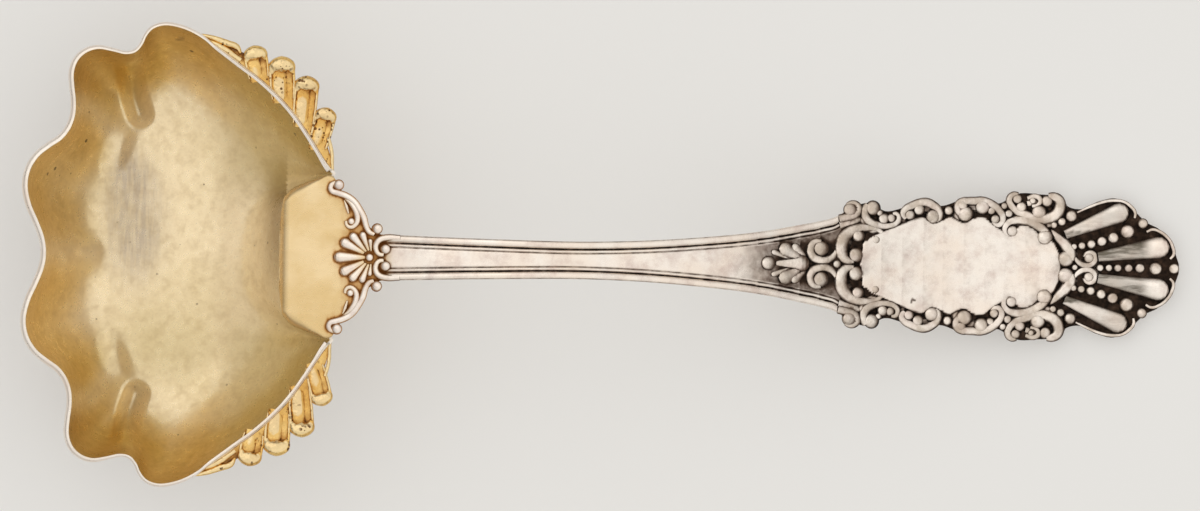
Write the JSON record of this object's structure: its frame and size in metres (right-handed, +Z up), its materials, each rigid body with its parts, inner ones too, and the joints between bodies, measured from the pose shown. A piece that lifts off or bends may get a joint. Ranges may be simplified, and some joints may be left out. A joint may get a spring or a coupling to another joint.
{
  "type": "gravy ladle",
  "caption": "Silver gravy ladle in one piece, with a lobed gilt bowl, gadrooned shoulders, an arched reeded handle and a relief end of scrolls, beads and flutes.",
  "frame": {"origin": "where the flat underfoot of the bowl meets the surface that the ladle lies on", "axes": "+X from the bowl to the end of the handle, +Z up out of the bowl, +Y across the bowl"},
  "size_m": [0.171, 0.0692, 0.0298],
  "materials": {
    "silver": "polished silver with dark patina in the recesses and gilding in the bowl"
  },
  "bodies": {
    "root": {"ladle": "silver"}
  },
  "joints": []
}
